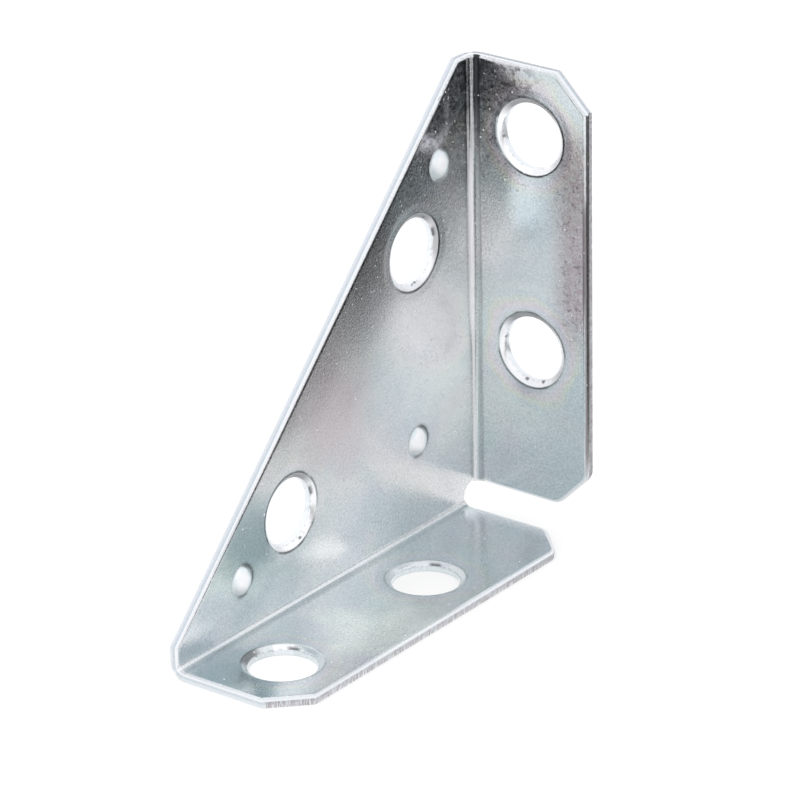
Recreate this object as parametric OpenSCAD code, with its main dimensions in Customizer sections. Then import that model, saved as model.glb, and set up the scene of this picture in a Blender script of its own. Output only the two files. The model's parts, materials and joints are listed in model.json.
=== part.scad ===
// Angle bracket folded from one sheet of zinc-plated steel. A triangular
// gusset carries two flanges, folded to the same side along its two legs and
// parted by a relief hole at the corner. Each flange has a row of two bolt
// holes, and the gusset has two more beside its slanted edge.
//
// X runs along the lower leg, Z up the upright leg and Y across the flanges.
// The outer faces lie at Z = 0 (lower flange), and the origin is halfway
// between the two bolt holes of the lower flange, on that face.

/* [Sheet] */
// Thickness of the sheet
sheet = 1.6; // [1:0.1:2.5]
// Inside radius of the two folds
bend_r = 1.2; // [0.6:0.1:2.4]

/* [Gusset] */
// Length of each leg, from the outer corner to its tip
leg = 80; // [74:1:140]
// Width left where each tip of the gusset is cut square
tip = 5.5; // [5.5:0.5:12]

/* [Flanges] */
// Width of each flange, from the gusset's outer face to the free edge
flange_w = 24; // [20:0.5:40]
// Size of the clipped corners, along each edge
clip = 6; // [3:0.5:8]
// Rounding of the clipped corners at the far end
far_r = 0.8; // [0.4:0.1:3]
// Rounding of the clipped corners beside the corner relief
near_r = 3; // [0.4:0.1:5]

/* [Corner relief] */
// Diameter of the relief hole where the fold lines cross
relief_d = 4.2; // [3:0.1:6]
// From the crossing of the fold lines to the near end of each flange
relief_gap = 1.9; // [1.2:0.1:3]

/* [Bolt holes] */
// Diameter of the six bolt holes
bolt_d = 11; // [6:0.5:12]
// Width of the coined ring round each hole on the inner side
coin_w = 1; // [0.3:0.1:1.5]
// Depth of the coined ring
coin_t = 0.6; // [0.2:0.1:0.9]
// From a flange's far end to its first hole
hole_end = 12; // [10:0.5:16]
// Centre distance of the two holes in a flange
hole_pitch = 37; // [28:0.5:42]
// Centre distance of the two holes in the gusset
slant_pitch = 47; // [30:0.5:55]
// From the slanted edge to the holes in the gusset
slant_edge = 11.9; // [10:0.1:14]

/* [Pips] */
// Diameter of the domed pips pressed through the gusset
pip_d = 5.2; // [3:0.1:7]
// Height of the pips above the inner face
pip_h = 0.9; // [0.4:0.1:1.2]
// Diameter of the hollow behind each pip
pip_back_d = 4; // [2:0.1:5]
// From the outer faces to the pip near the corner
pip_corner = 17.8; // [14:0.1:24]
// From a flange's outer face to the pip near its tip
pip_side = 10.8; // [9:0.1:14]
// From the leg's tip to the pip near it
pip_end = 16.2; // [14:0.1:20]

/* [Hidden] */
$fn = 96;
// Outer faces to the lines where the folds begin
fold = sheet + bend_r;
// Near end of each flange
start = fold + relief_gap;
// Row of bolt holes in a flange: halfway between gusset and free edge
row_y = (sheet + flange_w) / 2;
far_hole = leg - hole_end;
near_hole = far_hole - hole_pitch;
row_mid = (far_hole + near_hole) / 2;
// Both gusset holes lie on a line parallel to the slanted edge
slant_mid = (leg + tip) / 2 - slant_edge / sqrt(2);
slant_half = slant_pitch / 2 / sqrt(2);
// Cutters run this far past the faces they cut
past = 1;

// Tangent point at distance d from corner p on the way to q
function toward(p, q, d) = p + (q - p) * d / norm(q - p);
// Half the turn at corner p between its neighbours a and b
function half_turn(a, p, b) = (180 - acos((a - p) * (b - p) / norm(a - p) / norm(b - p))) / 2;
// Length that a rounding of radius r takes from each edge at p
function trim(a, p, b, r) = r * tan(half_turn(a, p, b));
// Centre of that rounding
function centre(a, p, b, r) =
    let (m = toward(p, a, 1) + toward(p, b, 1) - 2 * p)
    p + m / norm(m) * r / cos(half_turn(a, p, b));

// Outline through pts whose convex corners are rounded by rs
module rounded_outline(pts, rs) {
    n = len(pts);
    polygon([
        for (i = [0 : n - 1])
        let (a = pts[(i + n - 1) % n], p = pts[i], b = pts[(i + 1) % n], t = trim(a, p, b, rs[i]))
        each (rs[i] > 0 ? [toward(p, a, t), toward(p, b, t)] : [p])
    ]);
    for (i = [0 : n - 1])
        if (rs[i] > 0)
            translate(centre(pts[(i + n - 1) % n], pts[i], pts[(i + 1) % n], rs[i]))
                circle(rs[i]);
}

// Gusset in the X-Z plane, from the fold lines outwards
module gusset() {
    translate([0, sheet, 0])
        rotate([90, 0, 0])
            linear_extrude(sheet)
                polygon([[fold, fold], [leg, fold], [leg, tip], [tip, leg], [fold, leg]]);
}

// Quarter round of sheet that joins a flange to the gusset, along X
module fold_strip() {
    translate([start, 0, 0])
        rotate([90, 0, 90])
            linear_extrude(leg - start)
                translate([fold, fold])
                    difference() {
                        intersection() {
                            circle(fold);
                            translate([-fold, -fold]) square(fold);
                        }
                        circle(bend_r);
                    }
}

// Bolt hole along Z through a sheet that lies on Z = 0, coined on its upper side
module bolt_hole() {
    translate([0, 0, -past])
        cylinder(h = sheet + 2 * past, d = bolt_d);
    grow = coin_w / coin_t;
    translate([0, 0, sheet - coin_t])
        cylinder(
            h = coin_t + past,
            d1 = bolt_d,
            d2 = bolt_d + 2 * grow * (coin_t + past)
        );
}

// Lower flange with its fold
module flange() {
    difference() {
        linear_extrude(sheet)
            rounded_outline(
                [
                    [start, fold],
                    [leg, fold],
                    [leg, flange_w - clip],
                    [leg - clip, flange_w],
                    [start + clip, flange_w],
                    [start, flange_w - clip]
                ],
                [0, 0, far_r, far_r, near_r, near_r]
            );
        for (x = [near_hole, far_hole])
            translate([x, row_y, 0]) bolt_hole();
    }
    fold_strip();
}

// Turns what lies along the lower leg up the other leg
module up_the_leg() {
    mirror([1, 0, -1]) children();
}

// Turns what stands on Z = 0 to face along +Y, centred at x and z
module on_gusset(x, z) {
    translate([x, 0, z]) rotate([-90, 0, 0]) children();
}

// Radius of the ball whose cap is d wide and h high
function cap_r(d, h) = (d * d / 4 + h * h) / (2 * h);

// Domed face of a pip, seated in the sheet
module pip_dome() {
    r = cap_r(pip_d, pip_h);
    rotate_extrude()
        intersection() {
            translate([0, sheet + pip_h - r]) circle(r);
            translate([0, sheet / 2]) square([r, sheet / 2 + pip_h + past]);
        }
}

// Hollow behind a pip
module pip_hollow() {
    r = cap_r(pip_back_d, pip_h);
    translate([0, 0, pip_h - r]) sphere(r);
}

// Centres of the pips, as [x, z]
pips = [
    [pip_corner, pip_corner],
    [pip_side, leg - pip_end],
    [leg - pip_end, pip_side]
];

// Centres of the gusset's bolt holes, as [x, z]
slant_holes = [for (s = [-1, 1]) [slant_mid + s * slant_half, slant_mid - s * slant_half]];

module bracket() {
    color("silver")
        translate([-row_mid, -row_y, 0])
            difference() {
                union() {
                    gusset();
                    flange();
                    up_the_leg() flange();
                    for (p = pips) on_gusset(p[0], p[1]) pip_dome();
                }
                for (p = pips) on_gusset(p[0], p[1]) pip_hollow();
                for (h = slant_holes) on_gusset(h[0], h[1]) bolt_hole();
                translate([fold, -past, fold])
                    rotate([-90, 0, 0])
                        cylinder(h = fold + past, d = relief_d);
            }
}

bracket();
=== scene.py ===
import functools
import json
import math

import bmesh
import bpy
import numpy as np
from bpy.props import FloatProperty, FloatVectorProperty, IntProperty, PointerProperty
from bpy.types import Operator, Panel, PropertyGroup
from mathutils import Matrix, Vector
from mathutils.geometry import delaunay_2d_cdt


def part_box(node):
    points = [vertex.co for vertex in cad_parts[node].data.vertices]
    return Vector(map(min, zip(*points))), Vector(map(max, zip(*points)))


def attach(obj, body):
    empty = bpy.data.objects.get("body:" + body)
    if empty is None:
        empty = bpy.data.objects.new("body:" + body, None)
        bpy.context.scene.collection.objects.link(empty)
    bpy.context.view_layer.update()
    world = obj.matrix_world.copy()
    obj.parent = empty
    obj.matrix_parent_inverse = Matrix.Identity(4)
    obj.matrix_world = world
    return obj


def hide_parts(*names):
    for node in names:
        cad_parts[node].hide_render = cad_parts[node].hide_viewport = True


bl_info = {
    "name": "Angle bracket",
    "version": (1, 0, 0),
    "blender": (4, 5, 0),
    "location": "3D View > Sidebar > Bracket",
    "description": "Builds a folded angle bracket with coined holes and a zinc-plated finish",
    "category": "Add Mesh",
}

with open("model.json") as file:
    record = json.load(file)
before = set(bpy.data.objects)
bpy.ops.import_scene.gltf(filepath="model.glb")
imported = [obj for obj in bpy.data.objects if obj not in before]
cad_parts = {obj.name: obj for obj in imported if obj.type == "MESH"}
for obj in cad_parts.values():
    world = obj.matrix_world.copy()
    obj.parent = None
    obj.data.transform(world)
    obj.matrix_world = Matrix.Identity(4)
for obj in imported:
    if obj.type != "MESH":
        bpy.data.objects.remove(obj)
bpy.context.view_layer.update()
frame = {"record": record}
MM = 0.001
LOW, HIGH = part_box("bracket")
MOUNTS = {mount["name"]: mount for mount in frame["record"]["mounts"]}
BASE = MOUNTS["lower_bolts"]
GUSSET = MOUNTS["gusset_bolts"]
LEG = HIGH.z
# The origin of the part lies this far inside the outer faces of the upright flange and the gusset
ROW_MID = -LOW.x
ROW_Y = -LOW.y


def length(name, description, default, low=0.0):
    """A size in metres, shown in the scene's own unit."""
    return FloatProperty(
        name=name,
        description=description,
        default=default,
        min=low,
        unit="LENGTH",
        subtype="DISTANCE",
        precision=5,
    )


def angle_of(name, description, degrees):
    """An angle, given in degrees."""
    return FloatProperty(name=name, description=description, default=math.radians(degrees), subtype="ANGLE")


def share_of(name, description, default):
    """A number from nothing to one."""
    return FloatProperty(name=name, description=description, default=default, min=0.0, max=1.0)


def amount(name, description, default):
    """A number that isn't negative."""
    return FloatProperty(name=name, description=description, default=default, min=0.0)


def count_of(name, description, default, low, high):
    """A number of faces."""
    return IntProperty(name=name, description=description, default=default, min=low, max=high)


def tint(name, description, default):
    """A colour of the finish."""
    return FloatVectorProperty(
        name=name, description=description, default=default, min=0.0, max=1.0, size=3, subtype="COLOR"
    )


class BracketSizes(PropertyGroup):
    """Sizes of the folded sheet and of its small forms."""

    sheet: length("Sheet", "Thickness of the sheet", 1.6 * MM)
    bend_r: length("Bend radius", "Inside radius of the two folds", 1.2 * MM)
    leg: length("Leg", "Length of each leg, from the outer corner to its tip", LEG)
    tip: length("Tip", "Width left where each tip of the gusset is cut square", 5.5 * MM)
    tip_r: length("Tip rounding", "Rounding of the corners at the tips", 0.4 * MM)
    flange_w: length("Flange width", "From the gusset's outer face to the free edge", HIGH.y - LOW.y)
    clip: length("Clip", "Size of the clipped corners of the flanges", 6 * MM)
    far_r: length("Far rounding", "Rounding of the clipped corners at the far end", 0.8 * MM)
    near_r: length("Near rounding", "Rounding of the clipped corners beside the relief", 3 * MM)
    relief_r: length("Relief radius", "Radius of the relief hole where the fold lines cross", 2.1 * MM)
    relief_gap: length("Relief gap", "From the crossing of the fold lines to each flange", 1.9 * MM)
    bolt_r: length("Bolt hole radius", "Radius of the bolt holes", BASE["dims"]["hole_r_mm"] * MM)
    pitch: length("Hole pitch", "Distance of the two holes in a flange", BASE["dims"]["spacing_x_mm"] * MM)
    slant_pitch: length("Gusset pitch", "Distance of the gusset's holes", GUSSET["dims"]["pcd_mm"] * MM)
    coin_w: length("Coin width", "Width of the coined ring round each hole", 1.0 * MM)
    coin_t: length("Coin depth", "Depth of the coined ring", 0.6 * MM)
    dish: length("Dish", "How far the sheet is drawn down round a hole", 0.03 * MM)
    halo: length("Halo", "Width of the drawn-down zone round a hole", 3.0 * MM)
    roll_w: length("Roll width", "Width of the rolled-over cut edge", 0.75 * MM)
    roll_h: length("Roll depth", "Depth of the rolled-over cut edge", 0.5 * MM)
    shear: length("Shear height", "Height at which the smooth part of a cut edge ends", 0.75 * MM)
    taper: length("Break taper", "How far the broken part of a cut edge leans in", 0.07 * MM)
    arris: length("Arris", "Rounding of the edges on the outer side", 0.08 * MM)
    pip_r: length("Pip radius", "Radius of the domed pips", 2.6 * MM)
    pip_h: length("Pip height", "Height of the pips above the inner face", 0.9 * MM)
    pip_back_r: length("Pip hollow radius", "Radius of the hollow behind each pip", 2 * MM)
    pip_corner: length("Corner pip", "From the outer faces to the pip near the corner", 17.8 * MM)
    pip_side: length("Tip pip, across", "From a flange's outer face to the pip near its tip", 10.8 * MM)
    pip_end: length("Tip pip, along", "From the leg's tip to the pip near it", 16.2 * MM)
    grid: length("Mesh grid", "Spacing of the mesh on the flat faces", 3 * MM, 0.5 * MM)
    bend_steps: count_of("Bend steps", "Faces across each fold", 8, 4, 24)
    hole_steps: count_of("Hole steps", "Faces round each hole", 96, 24, 256)


class BracketFinish(PropertyGroup):
    """Colours of the zinc plating and of the cut edges, some of which also paint highlights and shade."""

    plate: tint("Plate", "Plain plating", (0.92, 0.925, 0.92))
    teal: tint("Teal film", "Thin bluish-green film on the plating", (0.695, 0.76, 0.77))
    lavender: tint("Lavender film", "Violet film on the plating", (0.77, 0.77, 0.84))
    rose: tint("Rose film", "Pink film on the plating", (0.85, 0.78, 0.81))
    straw: tint("Straw film", "Yellow-green film on the plating", (0.82, 0.84, 0.74))
    # Also painted shade toward the edge of each pip's painted highlight
    sky: tint("Sky film", "Pale blue film on the plating", (0.69, 0.79, 0.83))
    # Also used for painted shade on the pip domes, and in soft spots that are partly painted reflection
    deep: tint("Deep film", "Dull bluish-green film in soft spots", (0.38, 0.47, 0.49))
    # Used only in soft spots that are partly painted reflection
    pale: tint("Pale film", "Bright yellow-green film in soft spots", (0.92, 1.0, 0.93))
    # Painted shade: the dark line along the upright flange's rolled edge
    painted_edge_shade: tint("Worn edge", "Dull rolled edge of the upright flange", (0.20, 0.18, 0.185))
    rubbed: tint("Rubbed film", "Purple film rubbed beside the free edge", (0.51, 0.45, 0.465))
    cut: tint("Cut edge", "Smooth upper part of the sheared edges", (0.66, 0.72, 0.77))
    cut_dark: tint("Cut edge, dark", "Dull streaks of the sheared edges", (0.36, 0.30, 0.31))
    # Pressed zinc of the coined rings; also painted highlights on the pips, the rolled edges and the folds
    bright: tint("Pressed zinc", "Bright zinc of the rings, pips and rolled edges", (0.95, 0.95, 0.97))
    speck: tint("Speck", "Small white specks of zinc salt", (0.93, 0.94, 0.95))
    # Also used for painted shade in the folds, on the rings and beside the pips
    stain_and_shade: tint("Stain", "Dark marks in the rings, beside the pips and in the folds", (0.05, 0.05, 0.055))
    gloss: share_of("Roughness", "Mean roughness of the plating", 0.11)


class BracketStage(PropertyGroup):
    """Light, floor and camera."""

    floor: tint("Floor", "Colour of the floor", (0.96, 0.96, 0.96))
    paper: share_of("Paper", "How far the floor goes to plain white for the camera", 0.6)
    sky_light: amount("Room light", "Strength of the even room light", 1.25)
    lamp: amount("Lamp", "Power of the softbox", 3.5)
    azimuth: angle_of("Azimuth", "Camera's turn from the X axis", 37.5984)
    elevation: angle_of("Elevation", "Camera's rise above level", 23.6556)
    roll: angle_of("Roll", "Camera's roll", -1.1147)
    distance: length("Distance", "From the camera to the plane of the aim point", 777.5 * MM)
    focal: amount("Focal length", "Of the lens, in millimetres", 219.44)
    shift_x: length("Aim, sideways", "Aim point from the reference point, to the right", -9.45 * MM, -1)
    shift_y: length("Aim, upwards", "Aim point from the reference point, upwards", -10.46 * MM, -1)


class Edge:
    """A point of a cut edge, which knows where it goes as the edge moves into the sheet."""

    def __init__(self, point, inward, slide=None, radius=0.0):
        self.point = point
        self.inward = inward
        self.slide = slide or inward
        self.radius = radius

    def at(self, depth):
        """Place at this depth: along the slide to the centre of a rounding, and then along its mitre."""
        near = min(depth, self.radius)
        return self.point + self.slide * near + self.inward * (depth - near)


def left_of(direction):
    """Unit normal on the left of a direction, which is inside an anticlockwise outline."""
    return Vector((-direction.y, direction.x)).normalized()


def mitre(first, second):
    """Direction in which the corner of two offset edges moves, per unit of offset."""
    return (first + second) / (1 + first.dot(second))


def stations(start, end, cuts, spacing):
    """Points along a straight edge, at the cuts and no further apart than the spacing, without its end."""
    tiny = 0.001
    marks = sorted({0.0, 1.0} | {cut for cut in cuts if tiny < cut < 1 - tiny})
    points = []
    for low, high in zip(marks, marks[1:]):
        steps = max(1, round((high - low) * (end - start).length / spacing))
        points += [start.lerp(end, low + (high - low) * i / steps) for i in range(steps)]
    return points


def rounded_corner(before, corner, after, radius):
    """Edge points round a convex corner."""
    into = (corner - before).normalized()
    out = (after - corner).normalized()
    turn = into.angle(out)
    sides = left_of(into), left_of(out)
    centre = corner + mitre(*sides) * radius
    face_turn = 7.5
    steps = max(2, round(math.degrees(turn) / face_turn))
    edges = []
    for i in range(steps + 1):
        spoke = Matrix.Rotation(turn * i / steps, 2) @ -sides[0]
        edges.append(Edge(centre + spoke * radius, mitre(*sides), -spoke, radius))
    return edges


def swapped(point):
    """The like point of the other leg."""
    return Vector((point[1], point[0]))


class Blank:
    """The flat sheet before it is folded: X along the lower leg and Y up the upright leg, both measured
    from the outer corner of the folded part on the gusset, and past each fold line along the flange."""

    def __init__(self, s):
        self.s = s
        self.fold = s.sheet + s.bend_r
        self.start = self.fold + s.relief_gap
        self.bend = math.pi / 2 * (s.bend_r + s.sheet / 2)
        self.free = self.fold - self.bend - (s.flange_w - self.fold)
        self.levels = [self.fold - self.bend * i / s.bend_steps for i in range(s.bend_steps + 1)]
        support = 0.15 * MM
        self.levels = [self.fold + support] + self.levels + [self.fold - self.bend - support]
        row = self.fold - self.bend - (ROW_Y - self.fold)
        along = [ROW_MID - s.pitch / 2, ROW_MID + s.pitch / 2]
        slant = s.slant_pitch / 2 / math.sqrt(2)
        middle = GUSSET["pos_m"][2]
        self.holes = [Vector((x, row)) for x in along]
        self.holes += [Vector((row, z)) for z in along]
        self.holes += [Vector((middle - slant, middle + slant)), Vector((middle + slant, middle - slant))]
        self.pips = [Vector((s.pip_corner, s.pip_corner))]
        self.pips += [Vector((s.pip_side, s.leg - s.pip_end)), Vector((s.leg - s.pip_end, s.pip_side))]

    def folded(self, point, height):
        """Place in the part's frame of a point of the blank, at a height above its outer face."""
        lower = point.y < point.x
        along, past = (point.x, point.y) if lower else (point.y, point.x)
        gone = self.fold - past
        if gone <= 0:
            across, up = height, past
        elif gone < self.bend:
            angle = gone / self.bend * math.pi / 2
            radius = self.fold - height
            across = self.fold - radius * math.cos(angle)
            up = self.fold - radius * math.sin(angle)
        else:
            across, up = self.fold + gone - self.bend, height
        x, z = (along, up) if lower else (up, along)
        return Vector((x - ROW_MID, across - ROW_Y, z))

    def outline(self):
        """Edge points of the blank, anticlockwise from the relief round the lower flange first."""
        s = self.s
        leg, tip, clip, start, free = s.leg, s.tip, s.clip, self.start, self.free
        reach = math.sqrt(s.relief_r**2 - s.relief_gap**2)
        half = [
            (Vector((start, self.fold - reach)), 0),
            (Vector((start, free + clip)), s.near_r),
            (Vector((start + clip, free)), s.near_r),
            (Vector((leg - clip, free)), s.far_r),
            (Vector((leg, free + clip)), s.far_r),
            (Vector((leg, tip)), s.tip_r),
        ]
        corners = half + [(swapped(point), radius) for point, radius in reversed(half)]
        edges = []
        last = corners[0][0]
        count = len(corners)
        for i in range(1, count):
            point, radius = corners[i]
            before = corners[i - 1][0]
            inward = left_of(point - before)
            bend = rounded_corner(before, point, corners[(i + 1) % count][0], radius) if radius else []
            end = bend[0].point if bend else point
            cuts = []
            for level in self.levels:
                for a, b in ((last.x, end.x), (last.y, end.y)):
                    if min(a, b) < level < max(a, b) and abs(a - b) > 0.9 * (end - last).length:
                        cuts.append((level - a) / (b - a))
            line = [Edge(p, inward) for p in stations(last, end, cuts, s.grid)]
            edges += line if i == 1 else line[1:]
            edges += bend if bend else [Edge(point, inward)]
            last = edges[-1].point
        return edges + self.relief_edges(reach)

    def relief_edges(self, reach):
        """Edge points round the relief hole, from the upright flange to the lower one. Those beside a fold
        move along its levels, and the others away from the hole's centre."""
        s = self.s
        centre = Vector((self.fold, self.fold))
        depths = [self.fold - level for level in self.levels]
        marks = [math.asin(depth / s.relief_r) for depth in depths if depth < reach]
        angles = [-mark for mark in marks] + [math.pi / 2 + mark for mark in marks]
        angles += [math.radians(angle) for angle in (15, 30, 45, 60, 75)]
        beside = math.radians(10)
        edges = []
        for angle in sorted(angles, reverse=True):
            spoke = Vector((math.cos(angle), math.sin(angle)))
            inward = spoke
            if angle < beside:
                inward = Vector((1 / spoke.x, 0))
            elif angle > math.pi / 2 - beside:
                inward = Vector((0, 1 / spoke.y))
            edges.append(Edge(centre + spoke * s.relief_r, inward))
        return edges


def circle_of(centre, radius, steps):
    """Edge points round a hole, anticlockwise."""
    spokes = [Vector((math.cos(a), math.sin(a))) for a in (math.tau * i / steps for i in range(steps))]
    return [Edge(centre + spoke * radius, spoke) for spoke in spokes]


def eased(before, corner, after, steps):
    """Points of a smooth turn from one point to another that is tangent to both lines to the corner."""
    before, corner, after = Vector(before), Vector(corner), Vector(after)
    points = []
    for i in range(steps + 1):
        angle = math.pi / 2 * i / steps
        back = (before - corner) * (1 - math.sin(angle))
        ahead = (after - corner) * (1 - math.cos(angle))
        points.append(corner + back + ahead)
    return [tuple(point) for point in points]


def outline_profile(s, reach):
    """Section of the outer cut edge from the inner to the outer side, as depth into the sheet and height."""
    t = s.sheet
    step = 0.02 * MM
    foot = s.taper + s.arris
    return (
        [(reach, t)]
        + eased((s.roll_w, t), (0, t), (0, t - s.roll_h), 7)
        + [(0, s.shear - step), (step, s.shear - 2 * step)]
        + eased((s.taper, s.arris), (s.taper, 0), (foot, 0), 3)
        + [(reach, 0)]
    )


def hole_profile(s):
    """Section of a bolt hole: a dished face, a coined ring with eased edges, the wall and the arris."""
    t = s.sheet
    # How far the easing of the ring's edges reaches, and the flat left between the lip and the dish
    on_face, on_slope, on_wall = 0.35 * MM, 0.3 * MM, 0.25 * MM
    flat = 0.1 * MM
    level_share = 0.97
    dish = [(s.halo, t), (s.halo * level_share, t)]
    rows = 8
    for i in range(1, rows):
        part = i / rows
        drop = s.dish * (1 - math.cos(math.pi * part)) / 2
        dish.append((s.halo + (s.coin_w + on_face + flat - s.halo) * part, t - drop))
    face = t - s.dish
    slope = Vector((-s.coin_w, -s.coin_t)).normalized()
    lip, foot = Vector((s.coin_w, face)), Vector((0, t - s.coin_t))
    return (
        dish
        + eased((s.coin_w + on_face, face), lip, lip + slope * on_slope, 5)
        + eased(foot - slope * on_slope, foot, foot - Vector((0, on_wall)), 5)
        + eased((0, s.arris), (0, 0), (s.arris, 0), 3)
        + [(s.halo, 0)]
    )


def cap_profile(radius, height, blend, base, reach):
    """Section of a ball's cap from its eased foot to its crown, as radius and height."""
    ball = (radius**2 + height**2) / (2 * height)
    low = radius - blend

    def rise(r):
        return height - ball + math.sqrt(ball**2 - r**2)

    slope = low / math.sqrt(ball**2 - low**2)
    corner = low + rise(low) / slope
    foot = eased((corner + blend, base), (corner, base), (low, base + rise(low)), 6)
    rows = 8
    radii = [low * (1 - i / rows) for i in range(1, rows)]
    crown = [(r, base + rise(r)) for r in radii]
    return [(reach, base)] + foot + crown, base + height


class SheetMesh:
    """Collects the folded sheet's vertices and faces with their places on the flat blank."""

    def __init__(self, blank):
        self.blank = blank
        self.bm = bmesh.new()
        self.flat = self.bm.verts.layers.float_vector.new("blank")

    def vert(self, point, height):
        vertex = self.bm.verts.new(self.blank.folded(point, height))
        vertex[self.flat] = (point.x / MM, point.y / MM, height / MM)
        return vertex

    def rings(self, edges, profile):
        """Rows of faces round a closed edge, one for each step of the profile. Returns both end rows."""
        rows = [[self.vert(edge.at(depth), height) for edge in edges] for depth, height in profile]
        count = len(edges)
        for row, below in zip(rows, rows[1:]):
            for i in range(count):
                j = (i + 1) % count
                self.bm.faces.new((row[i], row[j], below[j], below[i]))
        return rows[0], rows[-1]

    def close(self, row, centre, height):
        """Closes a ring at its centre."""
        crown = self.vert(centre, height)
        for first, second in zip(row, row[1:] + row[:1]):
            self.bm.faces.new((first, second, crown))


def inside(point, loop):
    """Whether a point lies inside a closed loop of points."""
    odd = False
    for a, b in zip(loop, loop[1:] + loop[:1]):
        if (a.y > point.y) != (b.y > point.y):
            if point.x < a.x + (point.y - a.y) / (b.y - a.y) * (b.x - a.x):
                odd = not odd
    return odd


def spot(point, digits=3):
    """A place on the blank in rounded millimetres, by which it is found again."""
    return round(point.x / MM, digits), round(point.y / MM, digits)


def face_plan(blank, rim, circles, spacing):
    """Triangles of the face between the outline's inner row and the circles, with lines along the folds."""
    same = 1e-7
    points = []
    index = {}
    edges = []

    def add(point):
        key = spot(point, 4)
        if key not in index:
            index[key] = len(points)
            points.append(Vector(point))
        return index[key]

    def chain(line, closed=False):
        ids = [add(point) for point in line]
        pairs = zip(ids, ids[1:] + ids[:1]) if closed else zip(ids, ids[1:])
        edges.extend((a, b) for a, b in pairs if a != b)

    chain(rim, True)
    for circle, _, _ in circles:
        chain(circle, True)
    loop = [point for i, point in enumerate(rim) if i == 0 or (point - rim[i - 1]).length > same]
    for level in blank.levels:
        for turn in (Vector, swapped):
            ends = [point for point in loop if abs(turn(point).y - level) < 0.001 * MM]
            ends = [point for point in ends if turn(point).x > blank.fold]
            if len(ends) < 2:
                raise RuntimeError("a fold level doesn't meet the outline at both ends")
            ends.sort(key=lambda point: turn(point).x)
            first, last = turn(ends[0]), turn(ends[-1])
            steps = max(1, round((last.x - first.x) / spacing))
            middle = [Vector((first.x + (last.x - first.x) * i / steps, level)) for i in range(1, steps)]
            chain([ends[0]] + [turn(point) for point in middle] + [ends[-1]])
    room = 0.45 * spacing
    band = min(blank.levels) - room, max(blank.levels) + room
    span = int(blank.s.leg / spacing) + 2
    low = int(blank.free / spacing) - 1
    for i in range(low, span):
        for j in range(low, span):
            point = Vector(((i + 0.5 * (j % 2)) * spacing, j * spacing))
            if band[0] < point.x < band[1] or band[0] < point.y < band[1]:
                continue
            if any((point - centre).length < radius + room for _, centre, radius in circles):
                continue
            if inside(point, loop) and min((point - corner).length for corner in loop) > room:
                add(point)
    result = delaunay_2d_cdt(points, edges, [], 0, same)
    verts, faces = result[0], result[2]
    kept = []
    for face in faces:
        middle = sum((verts[i] for i in face), Vector((0, 0))) / len(face)
        if any((middle - centre).length < radius * 0.999 for _, centre, radius in circles):
            continue
        if inside(middle, loop):
            kept.append(face)
    return verts, kept


def build_sheet(s):
    """The whole folded sheet as one closed mesh."""
    blank = Blank(s)
    mesh = SheetMesh(blank)
    reach = s.roll_w + 0.3 * MM
    outline = blank.outline()
    tops, bottoms = [], []

    def keep(edges, depth, rows):
        for edge, top, bottom in zip(edges, *rows):
            key = spot(edge.at(depth))
            tops.append((key, top))
            bottoms.append((key, bottom))

    keep(outline, reach, mesh.rings(outline, outline_profile(s, reach)))
    circles = []
    for centre in blank.holes:
        edges = circle_of(centre, s.bolt_r, s.hole_steps)
        keep(edges, s.halo, mesh.rings(edges, hole_profile(s)))
        circles.append(([edge.at(s.halo) for edge in edges], centre, s.bolt_r + s.halo))
    blend = 0.25 * MM
    pip_reach = s.pip_r + 3 * blend
    for centre in blank.pips:
        edges = circle_of(centre, 0.0, s.hole_steps // 2)
        dome, crown = cap_profile(s.pip_r, s.pip_h, blend, s.sheet, pip_reach)
        first, last = mesh.rings(edges, dome)
        mesh.close(last, centre, crown)
        hollow, top = cap_profile(s.pip_back_r, s.pip_h, blend / 2, 0.0, pip_reach)
        back, end = mesh.rings(edges, hollow)
        mesh.close(end, centre, top)
        keep(edges, pip_reach, (first, back))
        circles.append(([edge.at(pip_reach) for edge in edges], centre, pip_reach))
    verts, faces = face_plan(blank, [edge.at(reach) for edge in outline], circles, s.grid)
    for side, height in ((dict(tops), s.sheet), (dict(bottoms), 0.0)):
        corners = []
        for point in verts:
            key = spot(point)
            corners.append(side[key] if key in side else mesh.vert(point, height))
        for face in faces:
            mesh.bm.faces.new([corners[i] for i in face])
    bm = mesh.bm
    bmesh.ops.remove_doubles(bm, verts=bm.verts, dist=0.002 * MM)
    bmesh.ops.dissolve_degenerate(bm, edges=bm.edges, dist=0.001 * MM)
    bmesh.ops.recalc_face_normals(bm, faces=bm.faces)
    measure(mesh, [edge.point for edge in outline])
    return bm


def facing(x, y, direction, start, end):
    """Share that grows from nothing at the start to one at the end, both measured along a direction."""
    along = x * direction[0] + y * direction[1]
    return np.clip((along - start) / (end - start), 0, 1)


def ring_marks(aside, rise, rim, hole, ring):
    """Shares of painted shade and of a painted glint on the coined rings, from the direction out of the
    hole's centre, the distance from its wall, the hole's number and the ring's width. The upright flange's
    and the gusset's rings get painted shade at the top, one on the lower flange gets painted shade beside the
    fold, and some have a thin dark stroke of painted shade."""
    lower, near, web = hole < 2, hole == 1, hole > 3
    # Painted shade on the upper slope of each ring, which faces down
    top = 0.8 * facing(aside, rise, (0.0, 1.0), 0.45, 0.8)
    fold = 0.85 * facing(aside, rise, (0.22, 0.97), 0.86, 0.96) * near
    stroke = facing(aside, rise, (-0.93, 0.35), 0.975, 0.985) * (rim < 0.5)
    web_stroke = facing(aside, rise, (-0.95, 0.3), 0.98, 0.99) * (rim < 0.45) * web
    lee = np.where(lower, np.maximum(fold, stroke), np.maximum(top, web_stroke))
    on_slope = (rim > 0.05) & (rim < ring + 0.1)
    # Painted glint on one ring of the lower flange
    painted_glint = facing(aside, rise, (-0.79, 0.61), 0.945, 0.96) * near
    return np.where(on_slope, lee, 0), painted_glint


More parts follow.
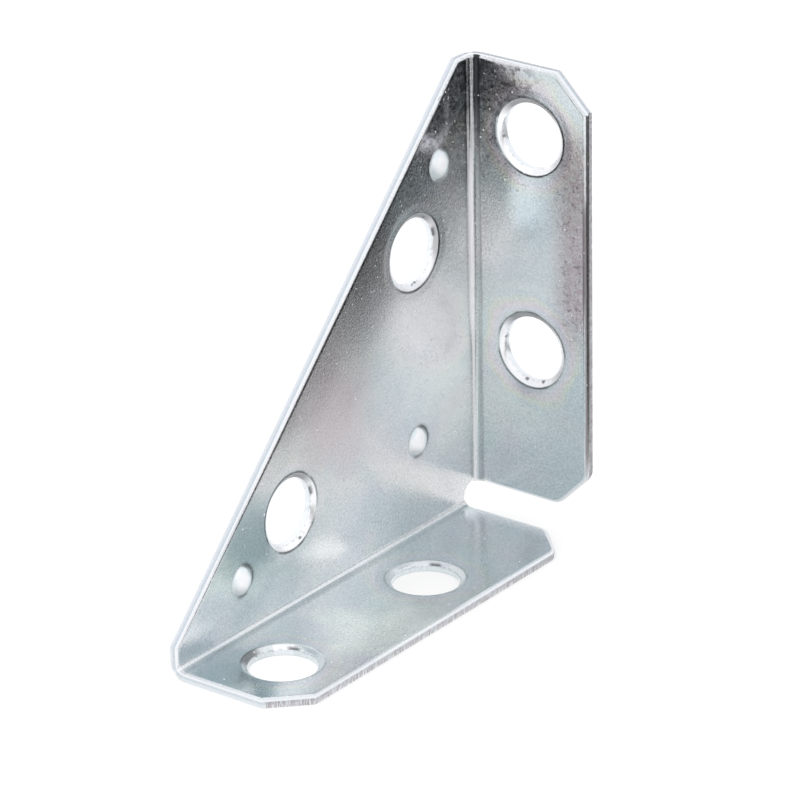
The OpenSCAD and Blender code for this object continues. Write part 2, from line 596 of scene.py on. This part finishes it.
def pip_marks(x, z):
    """For places round a pip's centre, in its radii: the place within its egg-shaped painted highlight, where
    1 is
    its edge, and the share of painted shade: a painted shadow crescent at its foot and painted shade on its
    crown."""
    distance = np.maximum(np.hypot(x, z), 0.001)
    width = np.where(x > 0, 0.97 - 0.12 * z, 0.66 - 0.3 * np.clip(z, 0, 1))
    egg = np.hypot(x / width, (z - 0.08) / 0.92)
    # Painted shadow crescent round part of the foot, and painted shade on part of the crown
    foot = np.clip(2 - np.abs(distance - 1.0) / 0.07, 0, 1)
    beside = facing(x / distance, z / distance, (-0.85, 0.45), 0.318, 0.773)
    below = 0.7 * facing(x / distance, z / distance, (0.0, -1.0), 0.85, 0.95)
    crown = 0.35 * facing(x, z, (0.5, -0.8), 0.25, 0.65) * (distance < 0.93)
    return egg, np.maximum(foot * np.maximum(beside, below), crown)


def measure(mesh, outline):
    """Stores, for each vertex, its distance in millimetres from the nearest hole's wall and from the
    outline, its place on the nearest pip's painted highlight, and its shares of painted shade and of painted
    glint."""
    bm, blank = mesh.bm, mesh.blank
    flat = np.array([vertex[mesh.flat][:2] for vertex in bm.verts])
    centres = np.array([(centre / MM)[:] for centre in blank.holes])
    away = flat[:, None] - centres[None]
    distances = np.linalg.norm(away, axis=2)
    hole = distances.argmin(axis=1)
    rows = np.arange(len(flat))
    distance = distances[rows, hole]
    rim = distance - blank.s.bolt_r / MM
    starts = np.array([(point / MM)[:] for point in outline])
    runs = np.roll(starts, -1, axis=0) - starts
    shares = ((flat[:, None] - starts) * runs).sum(axis=2) / (runs**2).sum(axis=1)
    feet = starts + np.clip(shares, 0, 1)[..., None] * runs
    border = np.linalg.norm(flat[:, None] - feet, axis=2).min(axis=1)
    aside, rise = (away[rows, hole] / np.maximum(distance, 0.001)[:, None]).T
    lee, painted_glint = ring_marks(aside, rise, rim, hole, blank.s.coin_w / MM)
    far = 9.0
    egg = np.full(len(flat), far)
    # Each pip's painted highlight patch, and its painted shade joined to that of the rings
    for pip in blank.pips:
        patch, dull = pip_marks(*((flat - np.array((pip / MM)[:])).T / (blank.s.pip_r / MM)))
        egg = np.minimum(egg, patch)
        lee = np.maximum(lee, dull)
    values = {"rim": rim, "border": border, "egg": egg, "lee": lee, "painted_glint": painted_glint}
    for name, column in values.items():
        layer = bm.verts.layers.float.new(name)
        for vertex, value in zip(bm.verts, column):
            vertex[layer] = value


class Graph:
    """Adds nodes to a node tree and joins them, from sockets and plain values."""

    def __init__(self, tree):
        self.tree = tree

    def node(self, kind, inputs=None, **settings):
        """Adds a node. Its inputs are named or numbered, and each is a socket to join or a value to set."""
        node = self.tree.nodes.new("ShaderNode" + kind)
        for name, value in settings.items():
            setattr(node, name, value)
        for name, value in (inputs or {}).items():
            self.feed(node.inputs[name], value)
        return node

    def feed(self, socket, value):
        if isinstance(value, bpy.types.NodeSocket):
            self.tree.links.new(value, socket)
        else:
            socket.default_value = value

    def math(self, operation, a, b=0.0):
        return self.node("Math", {0: a, 1: b}, operation=operation).outputs[0]

    def times(self, *values):
        """Product of values."""
        return functools.reduce(lambda a, b: self.math("MULTIPLY", a, b), values)

    def plus(self, *values):
        """Sum of values."""
        return functools.reduce(lambda a, b: self.math("ADD", a, b), values)

    def most(self, *values):
        """Largest of values."""
        return functools.reduce(lambda a, b: self.math("MAXIMUM", a, b), values)

    def rest(self, value):
        """What is left of one."""
        return self.math("SUBTRACT", 1.0, value)

    def near(self, value, centre, half, soft):
        """One within half of the centre, easing to nothing over the soft width."""
        gap = self.math("ABSOLUTE", self.math("SUBTRACT", value, centre))
        return self.remap(self.math("SUBTRACT", gap, half), 0.0, soft, 1.0, 0.0)

    def vector(self, operation, a, b):
        """Vector sum, product or distance."""
        node = self.node("VectorMath", {0: a, 1: b}, operation=operation)
        return node.outputs["Value" if operation == "DISTANCE" else "Vector"]

    def split(self, vector):
        """The three parts of a vector."""
        return self.node("SeparateXYZ", {0: vector}).outputs

    def stored(self, name, output="Fac"):
        """A value that the mesh holds for each of its points."""
        return self.node("Attribute", attribute_name=name).outputs[output]

    def remap(self, value, low, high, start=0.0, end=1.0, smooth=True):
        """Takes a value from one range to another, eased at both ends and held outside."""
        node = self.node("MapRange", {0: value, 1: low, 2: high, 3: start, 4: end})
        node.interpolation_type = "SMOOTHSTEP" if smooth else "LINEAR"
        return node.outputs[0]

    def between(self, share, low, high):
        """Goes from one value to another as a share grows."""
        return self.remap(share, 0.0, 1.0, low, high)

    def noise(self, place, scale, detail=2.0, rough=0.5, twist=0.0):
        """Noise of about 0.5 with this many waves per millimetre."""
        inputs = {"Vector": place, "Scale": scale, "Detail": detail, "Roughness": rough}
        return self.node("TexNoise", {**inputs, "Distortion": twist}).outputs["Fac"]

    def blend(self, share, a, b, mode="MIX"):
        """Mixes two colours, each of which is a socket or three numbers."""
        a, b = (side if isinstance(side, bpy.types.NodeSocket) else (*side, 1.0) for side in (a, b))
        node = self.node("Mix", {0: share, 6: a, 7: b}, data_type="RGBA", blend_type=mode)
        return node.outputs[2]

    def ramp(self, value, stops):
        """Colour along a ramp of (place, colour) stops."""
        node = self.node("ValToRGB", {"Fac": value})
        node.color_ramp.interpolation = "EASE"
        bands = node.color_ramp.elements
        while len(bands) < len(stops):
            bands.new(1.0)
        for band, (place, colour) in zip(bands, stops):
            band.position = place
            band.color = (*colour, 1.0)
        return node.outputs["Color"]


class Plating:
    """Zinc finish drawn with the places on the flat blank: thin films of pale colour, fine grain, white
    specks, bright pressed zones and streaked cut edges, with painted highlights and painted shade on the
    pips, rings, folds and rolled edges, and soft spots that are partly painted reflection. Distances are in
    millimetres."""

    # Soft spots of colour, partly film and partly painted reflection of lighter or darker surroundings:
    # colour, place on the blank, radius and strength
    SPOTS = (
        ("sky", (-10.4, 54.5), 7, 0.8),
        ("rose", (40, 32), 14, 0.85),
        ("bright", (17, 39), 19, 0.9),
        ("teal", (60, 14), 20, 0.9),
        ("sky", (73, 8), 9, 0.45),
        ("bright", (-1, 49), 10, 0.8),
        ("bright", (35, 8), 12, 0.5),
        ("rubbed", (-4, 76), 9, 0.6),
        ("deep", (61, 17), 12, 0.95),
        ("deep", (76, -5.5), 11, 0.85),
        ("pale", (50, -18.5), 15, 1),
    )
    # Films that drift over the whole sheet, each with its own place in the noise
    DRIFTS = (("rose", 41.0), ("lavender", 83.0), ("sky", 5.0))
    # Films round a hole from its rim outwards, as shares of their reach
    RINGS = {"teal": 0.15, "lavender": 0.25, "rose": 0.36, "straw": 0.47, "sky": 0.65, "plate": 0.85}
    RING_REACH = 8.0
    # Middle of the dusted part of the gusset, near the corner
    DUST = (12.0, 29.0)

    def __init__(self, f, s):
        self.f = f
        self.s = s
        blank = Blank(s)
        self.fold = blank.fold / MM
        self.bend = blank.bend / MM
        self.free = blank.free / MM
        self.sheet = s.sheet / MM
        self.leg = s.leg / MM
        self.coin = s.coin_w / MM
        self.material = bpy.data.materials.new("zinc_plate")
        self.material.use_nodes = True
        g = self.g = Graph(self.material.node_tree)
        self.place = g.stored("blank", "Vector")
        measures = [g.stored(name) for name in ("rim", "border", "egg", "lee", "painted_glint")]
        self.rim, self.border, self.egg, self.lee, self.painted_glint = measures
        x, self.up, self.height = g.split(self.place)
        self.along = g.math("MAXIMUM", x, self.up)
        self.across = g.math("MINIMUM", x, self.up)
        self.upper = g.math("GREATER_THAN", self.up, x)
        self.inner = g.remap(self.height, 0.02, 0.2)
        self.flange = g.remap(self.across, self.fold - 2, self.fold, 1.0, 0.0)
        self.front = g.times(self.flange, g.rest(self.upper))
        self.grain = g.noise(self.place, 2.6, 3, 0.7)
        self.streak = g.noise(g.vector("MULTIPLY", self.place, (6.5, 6.5, 0.3)), 1.0, 3, 0.6)

    def by_leg(self, lower, upper):
        """One value on the lower leg's side and another on the upright's."""
        return self.g.plus(lower, self.g.times(self.upper, upper - lower))

    def past(self, start, end, low=0.0, high=1.0):
        """Goes from one value to another between two places along either leg."""
        return self.g.remap(self.along, start, end, low, high)

    def moved(self, x, y):
        """The place moved on the blank, so that two noises differ."""
        return self.g.vector("ADD", self.place, (x, y, 0.0))

    def film(self):
        """Films that change colour round the holes and along the free edges, and soft spots that are partly
        film and partly painted reflection. Also returns the share of rubbed film."""
        f, g = self.f, self.g
        film = g.blend(self.flange, f.plate, f.teal)
        for name, shift in self.DRIFTS:
            drift = g.noise(self.moved(shift, 17.0), 0.06, 2, 0.5, 0.5)
            share = g.times(g.remap(drift, 0.48, 0.68, 0.0, 0.6), g.between(self.flange, 1.0, 0.55))
            film = g.blend(share, film, getattr(f, name))
        wander = g.remap(g.noise(self.place, 0.15, 2), 0.3, 0.7, 0.75, 1.25)
        out = g.math("DIVIDE", g.times(self.rim, wander), self.RING_REACH)
        rings = g.ramp(out, [(place, getattr(f, name)) for name, place in self.RINGS.items()])
        halo = g.times(g.remap(self.rim, 2.5, 7.5, 0.75, 0.0), g.between(self.flange, 0.3, 1.0))
        halo = g.times(halo, g.between(self.front, 1.0, 0.6))
        film = g.blend(halo, film, rings)
        # Soft spots, partly film colour and partly painted reflection
        for name, spot, radius, share in self.SPOTS:
            gap = g.vector("DISTANCE", self.place, (*spot, self.sheet))
            near = g.remap(g.times(gap, wander), 0.2 * radius, radius, share, 0.0)
            film = g.blend(near, film, getattr(f, name))
        middle = g.times(self.past(28, 42), self.past(74, 66))
        rubbed = g.near(self.across, self.free + 2.5, 0.5, 5.5)
        rubbed = g.times(rubbed, middle, self.by_leg(0.3, 1.0))
        blotch = g.remap(g.noise(self.place, 0.9, 3, 0.7), 0.35, 0.62, 1.0, 0.6)
        return g.blend(g.times(rubbed, blotch), film, f.rubbed), rubbed

    def shades(self, rubbed):
        """Grain, pits, blots and thin lines round the rings and inside the rolled edges, as a grey share."""
        g = self.g
        soft = g.remap(g.noise(self.place, 0.25, 2), 0.35, 0.6, 0.0, 0.5)
        weight = g.between(self.front, 1.2, 0.4)
        line = g.times(g.near(self.rim, self.coin + 0.15, 0.05, 0.3), soft, weight, self.inner)
        tip = self.past(self.leg - 1.3, self.leg - 0.9, 1.0, 0.0)
        foot = g.near(self.border, self.s.roll_w / MM, 0.03, 0.13)
        foot = g.times(foot, soft, tip, g.remap(self.up, 20, 45, 0.1, 1.0))
        high = g.times(self.past(52, 68), g.remap(self.across, -14, -8), self.upper, self.inner)
        rough = g.most(g.times(rubbed, self.inner), high, 0.15)
        pits = g.remap(g.noise(self.place, 1.6, 3, 0.65), 0.44, 0.32)
        pits = g.times(pits, rough, 0.6)
        blots = g.noise(self.moved(3.0, 8.0), 0.8, 2, 0.6)
        blots = g.times(g.remap(blots, 0.5, 0.38), high, self.past(60, 74, 0.0, 0.5))
        grey = g.times(g.remap(self.grain, 0.3, 0.7, 0.85, 1.08), g.between(self.inner, 0.88, 1.0))
        for dark in (line, foot, pits, blots):
            grey = g.times(grey, g.rest(dark))
        return g.node("CombineXYZ", {0: grey, 1: grey, 2: grey}).outputs[0]

    def cut_edge(self):
        """Colour of the sheared edges: a rolled top with a painted highlight, a smooth band and a broken
        band, with dull streaks where the free edges tore. Also returns the shares of torn and of broken edge."""
        f, g, s = self.f, self.g, self.s
        clip = s.clip / MM
        torn = g.math("LESS_THAN", self.across, self.by_leg(self.free + clip - 0.5, self.free + 0.2))
        torn = g.plus(0.06, g.times(torn, self.by_leg(0.75, 0.9)))
        broken = g.remap(self.height, s.shear / MM + 0.02, s.shear / MM - 0.05)
        top = self.sheet - s.roll_h / MM
        cut = g.blend(g.times(broken, 0.6), f.cut, f.bright)
        cut = g.blend(g.times(g.remap(self.streak, 0.62, 0.4), torn), cut, f.cut_dark)
        # Painted highlight on the rolled top of the cut edge
        return g.blend(g.remap(self.height, top - 0.05, top + 0.1), cut, f.bright), torn, broken

    def folds(self):
        """Shares of the painted highlight line and of the painted shade, a dark line and a flank, along the
        two folds.
        Places across a fold are shares of its turn. The fold of the upright flange changes toward its foot
        and its top."""
        g = self.g
        turn = g.math("DIVIDE", g.math("SUBTRACT", self.fold, self.across), self.bend)
        foot = g.times(self.upper, self.past(36, 28))
        top = g.times(self.upper, self.past(56, 74))
        lines = {0: g.times(self.across, 6.0), 1: g.times(self.along, 0.12)}
        lines = g.node("CombineXYZ", lines).outputs[0]
        drawn = g.remap(g.noise(lines, 1.0, 3), 0.38, 0.58, g.plus(0.85, g.times(top, -0.45)), 1.0)
        drift = g.plus(self.past(36, 28, 0.0, 0.09), self.past(56, 68, 0.0, 0.22))
        centre = g.plus(self.by_leg(0.43, 0.14), g.times(self.upper, drift))
        half = g.plus(self.by_leg(0.05, 0.13), g.times(top, -0.07), g.times(foot, -0.08))
        soft = g.plus(self.by_leg(0.08, 0.36), g.times(top, -0.18), g.times(foot, -0.16))
        share = g.plus(self.by_leg(0.5, 1.0), g.times(top, -0.35), g.times(foot, -0.15))
        # Painted highlight along each fold, with drawn lines in it
        line = g.times(g.near(turn, centre, half, soft), share)
        second = g.times(g.near(turn, -0.06, 0.05, 0.1), self.upper, self.past(52, 58), 0.75)
        second = g.times(second, self.past(66, 74, 1.0, 0.4))
        painted_fold_highlight = g.times(g.most(line, second), drawn)
        share = g.plus(self.by_leg(0.15, 0.0), g.times(top, 0.85))
        # Painted shade: a dark line and a wider flank beside the highlight in each fold
        painted_fold_shade = g.times(g.near(turn, 0.62, 0.03, 0.08), drawn, share)
        middle = g.times(self.upper, self.past(36, 46, 0.0, 0.2))
        share = g.plus(self.by_leg(0.1, 0.3), middle, g.times(top, 0.5))
        flank = g.times(g.near(turn, 0.82, 0.18, 0.14), share)
        return painted_fold_highlight, g.most(painted_fold_shade, flank)

    def pips(self):
        """Shares of the domes, which get painted shade, and of the painted highlight on each."""
        g = self.g
        dome = g.remap(self.height, self.sheet, self.sheet + 0.05)
        dome = g.times(dome, g.remap(self.border, 1.5, 2))
        return dome, g.times(g.remap(self.egg, 0.9, 1.06, 1.0, 0.0), dome)

    def rolled_edge(self, rubbed):
        """Shares of the rolled edge, of its painted highlight and of its painted dark line on the upright
        flange.
        """
        g = self.g
        edge = g.remap(self.border, 0.5, 0.75, 1.0, 0.0)
        # Painted highlight along the rolled edges
        bright = g.times(edge, 0.6, g.rest(g.times(rubbed, 0.8)))
        # Painted shade: a dark line along the upright flange's rolled edge
        painted_edge_shade = g.times(g.near(self.across, self.free + 0.55, 0.2, 0.3), self.past(36, 44))
        painted_edge_shade = g.most(painted_edge_shade, g.near(self.across, self.free + 0.15, 0.2, 0.25))
        painted_edge_shade = g.times(painted_edge_shade, self.upper, 0.85, self.past(8, 16), self.past(62, 56))
        return edge, bright, painted_edge_shade

    def pressed_zinc_and_highlight(self, pip, painted_fold_highlight):
        """Colour of the coined rings' pressed zinc and of the painted highlights on the pips, the rolled
        edges and the folds.
        """
        f, g = self.f, self.g
        wall = g.near(self.rim, 0.0, 0.03, 0.06)
        colour = g.blend(g.times(wall, 0.5), f.bright, f.cut)
        cloud = g.remap(g.noise(self.place, 0.6, 2), 0.4, 0.6, 0.2, 1.0)
        # Painted shade, bluish, toward the edge of each pip's painted highlight
        colour = g.blend(g.times(g.remap(self.egg, 0.4, 1.0), pip, cloud), colour, f.sky)
        return g.blend(g.times(painted_fold_highlight, 0.12), colour, f.rose)

    def marks(self):
        """Share of dark marks in the rings, with the painted shade of the rings and beside the pips."""
        g = self.g
        dots = g.remap(g.noise(self.place, 2.2, 1), 0.5, 0.62)
        dots = g.times(dots, g.near(self.rim, 0.1, 0.03, 0.08), 0.3)
        blobs = g.remap(g.noise(self.moved(5.0, 3.0), 0.45, 1), 0.66, 0.72)
        blobs = g.times(blobs, g.near(self.rim, 0.3, 0.2, 0.2), 0.8)
        # The painted shade from the mesh joins the dark marks
        return g.times(g.most(dots, blobs, g.times(self.lee, 0.8)), self.inner)

    def specks(self):
        """Share of small white specks."""
        g = self.g
        cells = g.node("TexVoronoi", {"Vector": self.place, "Scale": 0.5})
        pick = g.split(cells.outputs["Color"])
        size = g.remap(pick[1], 0.0, 1.0, 0.03, 0.08, False)
        few = g.remap(g.times(self.upper, self.along), 48, 62, 0.5, 0.15)
        dot = g.math("LESS_THAN", cells.outputs["Distance"], size)
        dot = g.times(dot, g.math("GREATER_THAN", pick[0], few))
        fleck = g.noise(self.moved(7.0, 9.0), 1.6, 1)
        return g.most(dot, g.remap(fleck, 0.70, 0.78, 0.0, 0.3))

    def finish(self):
        """Joins everything to the shader and returns the material."""
        f, g = self.f, self.g
        film, rubbed = self.film()
        dome, pip = self.pips()
        painted_fold_highlight, painted_fold_shade = self.folds()
        edge, rolled, painted_edge_shade = self.rolled_edge(rubbed)
        cut, torn, broken = self.cut_edge()
        cut_share = g.remap(self.border, 0.08, 0.14, 1.0, 0.0)
        coined = g.times(g.remap(self.rim, self.coin - 0.1, self.coin + 0.05, 1.0, 0.0), self.inner)
        # Bright pressed zinc on the coined rings, with a painted glint on one of them
        pressed = g.times(coined, g.most(self.painted_glint, g.between(self.front, 1.0, 0.45)))
        speck = self.specks()

        colour = g.blend(1.0, film, self.shades(rubbed), "MULTIPLY")
        # Painted shade on the pip domes, round their painted highlight
        colour = g.blend(g.times(dome, 0.7), colour, f.deep)
        bright_and_highlight = self.pressed_zinc_and_highlight(pip, painted_fold_highlight)
        # Pressed zinc on the rings, and painted highlights on the pips, the rolled edges and the folds
        colour = g.blend(g.most(pressed, pip, rolled, painted_fold_highlight), colour, bright_and_highlight)
        # Painted shade in the folds
        colour = g.blend(painted_fold_shade, colour, f.stain_and_shade)
        # Painted shade along the upright flange's rolled edge
        colour = g.blend(painted_edge_shade, colour, f.painted_edge_shade)
        colour = g.blend(cut_share, colour, cut)
        # Dark marks in the rings, and painted shade on the rings and beside the pips
        colour = g.blend(self.marks(), colour, f.stain_and_shade)
        colour = g.blend(speck, colour, f.speck)

        outer = g.rest(self.inner)
        corner = g.vector("DISTANCE", self.place, (*self.DUST, self.sheet))
        dusted = g.times(g.remap(corner, 11.0, 24.0, 1.0, 0.0), g.rest(self.flange))
        rough = g.plus(
            f.gloss,
            g.remap(self.grain, 0.3, 0.7, -0.04, 0.06),
            g.times(cut_share, broken, 0.2),
            g.between(self.flange, 0.06, 0.0),
            g.times(dusted, 0.04),
            g.times(outer, 0.12),
            g.times(dome, 0.25),
            g.times(painted_fold_highlight, 0.3),
            g.times(speck, 0.4),
        )
        # Zinc salt isn't metal: it is the share of the surface that looks white from all sides. Domes, rings
        # and fold lines are also partly non-metal, so that their painted highlights and shade show in any
        # light.
        salt = g.most(
            speck,
            g.times(dome, 0.75),
            g.times(pressed, 0.5),
            g.times(painted_fold_highlight, 0.85),
            g.times(edge, 0.08),
            g.times(dusted, 0.28),
            g.times(outer, 0.4),
        )
        wave = g.noise(self.place, 0.07, 1)
        waves = g.node("Bump", {"Height": wave, "Strength": 1.0, "Distance": 0.12 * MM}).outputs[0]
        relief = g.plus(
            g.times(self.grain, g.between(cut_share, 1.0, 0.2)),
            g.times(self.streak, torn, cut_share),
            g.times(speck, 0.8),
        )
        bump = {"Height": relief, "Strength": 1.0, "Distance": 0.02 * MM, "Normal": waves}
        shader = self.material.node_tree.nodes["Principled BSDF"]
        g.feed(shader.inputs["Metallic"], g.rest(salt))
        g.feed(shader.inputs["Base Color"], colour)
        g.feed(shader.inputs["Roughness"], rough)
        g.feed(shader.inputs["Normal"], g.node("Bump", bump).outputs[0])
        return self.material


def set_floor(scene, st):
    """Pale floor. In the metal it shows as a pool of light that fades away from the bracket."""
    bm = bmesh.new()
    reach = 3
    bmesh.ops.create_grid(bm, x_segments=1, y_segments=1, size=reach)
    data = bpy.data.meshes.new("floor")
    bm.to_mesh(data)
    bm.free()
    floor = bpy.data.objects.new("floor", data)
    scene.collection.objects.link(floor)
    paint = bpy.data.materials.new("floor_paint")
    paint.use_nodes = True
    paint.node_tree.nodes.clear()
    g = Graph(paint.node_tree)
    place = g.vector("ADD", g.node("TexCoord").outputs["Object"], (ROW_MID, ROW_Y, 0))
    x, y, _ = g.split(place)
    ahead = g.math("SUBTRACT", y, g.times(g.math("ABSOLUTE", x), 0.3))
    # Painted shadow in the floor's shine beside the lower flange, near the corner
    side = g.times(g.remap(x, 0.0, 0.035, 0.24, 0.0), g.remap(ahead, -0.01, 0.025))
    pool = g.times(g.remap(ahead, 0.040, 0.060, 1.0, 0.01), g.rest(side))
    matt = g.node("BsdfDiffuse", {"Color": (*st.floor, 1)}).outputs[0]
    white = g.node("Emission", {"Color": (1, 1, 1, 1), "Strength": 1.0}).outputs[0]
    shine = g.node("Emission", {"Color": (0.97, 0.99, 1.0, 1), "Strength": pool}).outputs[0]
    rays = g.node("LightPath").outputs
    papery = g.times(rays["Is Camera Ray"], st.paper)
    plain = g.node("MixShader", {0: papery, 1: matt, 2: white}).outputs[0]
    both = g.node("MixShader", {0: rays["Is Glossy Ray"], 1: plain, 2: shine}).outputs[0]
    g.node("OutputMaterial", {"Surface": both})
    data.materials.append(paint)


def set_room(scene, st):
    """Even white room. In the metal it shows bright above and darker along the horizon."""
    world = bpy.data.worlds.new("studio")
    world.use_nodes = True
    world.node_tree.nodes.clear()
    g = Graph(world.node_tree)
    rise = g.split(g.node("TexCoord").outputs["Generated"])[2]
    glow = g.remap(rise, -0.02, 0.12, 0.3, 1.0)
    even = g.node("Background", {"Color": (1, 1, 1, 1), "Strength": st.sky_light}).outputs[0]
    white = g.node("Background", {"Color": (1, 1, 1, 1), "Strength": 1.0}).outputs[0]
    studio = g.node("Background", {"Color": (0.95, 0.97, 1.0, 1), "Strength": glow}).outputs[0]
    rays = g.node("LightPath").outputs
    plain = g.node("MixShader", {0: rays["Is Camera Ray"], 1: even, 2: white}).outputs[0]
    both = g.node("MixShader", {0: rays["Is Glossy Ray"], 1: plain, 2: studio}).outputs[0]
    g.node("OutputWorld", {"Surface": both})
    scene.world = world


def set_lamp(scene, st):
    """Square softbox above and to the left, aimed at the bracket, for a soft shadow."""
    aim = Vector((0, 0, 0.03))
    lamp = bpy.data.lights.new("softbox", "AREA")
    lamp.shape = "SQUARE"
    lamp.size = 0.5
    lamp.energy = st.lamp
    box = bpy.data.objects.new("softbox", lamp)
    box.location = (0.25, -0.45, 0.8)
    box.rotation_euler = (aim - box.location).to_track_quat("-Z", "Y").to_euler()
    box.visible_glossy = False
    scene.collection.objects.link(box)


def set_camera(scene, st):
    """Camera at the photograph's place, fitted to the corners and hole rims."""
    level = math.cos(st.elevation)
    view = -Vector((level * math.cos(st.azimuth), level * math.sin(st.azimuth), math.sin(st.elevation)))
    right = view.cross(Vector((0, 0, 1))).normalized()
    up = right.cross(view)
    turn = Matrix.Rotation(-st.roll, 3, view)
    right, up = turn @ right, turn @ up
    # The reference point, measured from the bracket's outer corner
    middle = Vector((20 * MM - ROW_MID, 12 * MM - ROW_Y, 40 * MM))
    aim = middle + right * st.shift_x + up * st.shift_y
    lens = bpy.data.cameras.new("camera")
    lens.lens = st.focal
    lens.sensor_width = 36
    lens.clip_start = 10 * MM
    camera = bpy.data.objects.new("camera", lens)
    axes = Matrix((right, up, -view)).transposed().to_4x4()
    camera.matrix_world = Matrix.Translation(aim - view * st.distance) @ axes
    scene.collection.objects.link(camera)
    scene.camera = camera


class BRACKET_OT_sheet(Operator):
    """Build the folded sheet with its rolled edges, coined holes and pips, and plate it"""

    bl_idname = "bracket.sheet"
    bl_label = "Build the folded sheet"

    def execute(self, context):
        bm = build_sheet(context.scene.bracket_sizes)
        if any(not edge.is_manifold for edge in bm.edges):
            raise RuntimeError("the folded sheet isn't a closed mesh")
        data = bpy.data.meshes.new("folded_sheet")
        bm.to_mesh(data)
        bm.free()
        data.polygons.foreach_set("use_smooth", [True] * len(data.polygons))
        data.materials.append(Plating(context.scene.bracket_finish, context.scene.bracket_sizes).finish())
        piece = bpy.data.objects.new("folded_sheet", data)
        context.scene.collection.objects.link(piece)
        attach(piece, "root")
        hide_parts("bracket")
        return {"FINISHED"}


class BRACKET_OT_stage(Operator):
    """Set the floor, the lamps and the camera"""

    bl_idname = "bracket.stage"
    bl_label = "Set the stage"

    def execute(self, context):
        scene = context.scene
        stage = scene.bracket_stage
        scene.view_settings.view_transform = "Standard"
        set_floor(scene, stage)
        set_room(scene, stage)
        set_lamp(scene, stage)
        set_camera(scene, stage)
        return {"FINISHED"}


class BRACKET_PT_panel(Panel):
    """Sizes and steps of the angle bracket"""

    bl_idname = "BRACKET_PT_panel"
    bl_label = "Angle bracket"
    bl_space_type = "VIEW_3D"
    bl_region_type = "UI"
    bl_category = "Bracket"

    def draw(self, context):
        scene = context.scene
        for group in (scene.bracket_sizes, scene.bracket_finish, scene.bracket_stage):
            column = self.layout.column(align=True)
            for name in group.bl_rna.properties.keys():
                if name not in {"rna_type", "name"}:
                    column.prop(group, name)
        self.layout.operator(BRACKET_OT_sheet.bl_idname)
        self.layout.operator(BRACKET_OT_stage.bl_idname)


CLASSES = (BracketSizes, BracketFinish, BracketStage, BRACKET_OT_sheet, BRACKET_OT_stage, BRACKET_PT_panel)


def register():
    for cls in CLASSES:
        bpy.utils.register_class(cls)
    bpy.types.Scene.bracket_sizes = PointerProperty(type=BracketSizes)
    bpy.types.Scene.bracket_finish = PointerProperty(type=BracketFinish)
    bpy.types.Scene.bracket_stage = PointerProperty(type=BracketStage)


def unregister():
    del bpy.types.Scene.bracket_stage
    del bpy.types.Scene.bracket_finish
    del bpy.types.Scene.bracket_sizes
    for cls in reversed(CLASSES):
        bpy.utils.unregister_class(cls)


def corners(box):
    """A box as plain lists of numbers."""
    return [[float(value) for value in corner] for corner in box]


def main():
    register()
    bpy.ops.bracket.sheet()
    bpy.ops.bracket.stage()


if __name__ == "__main__":
    main()
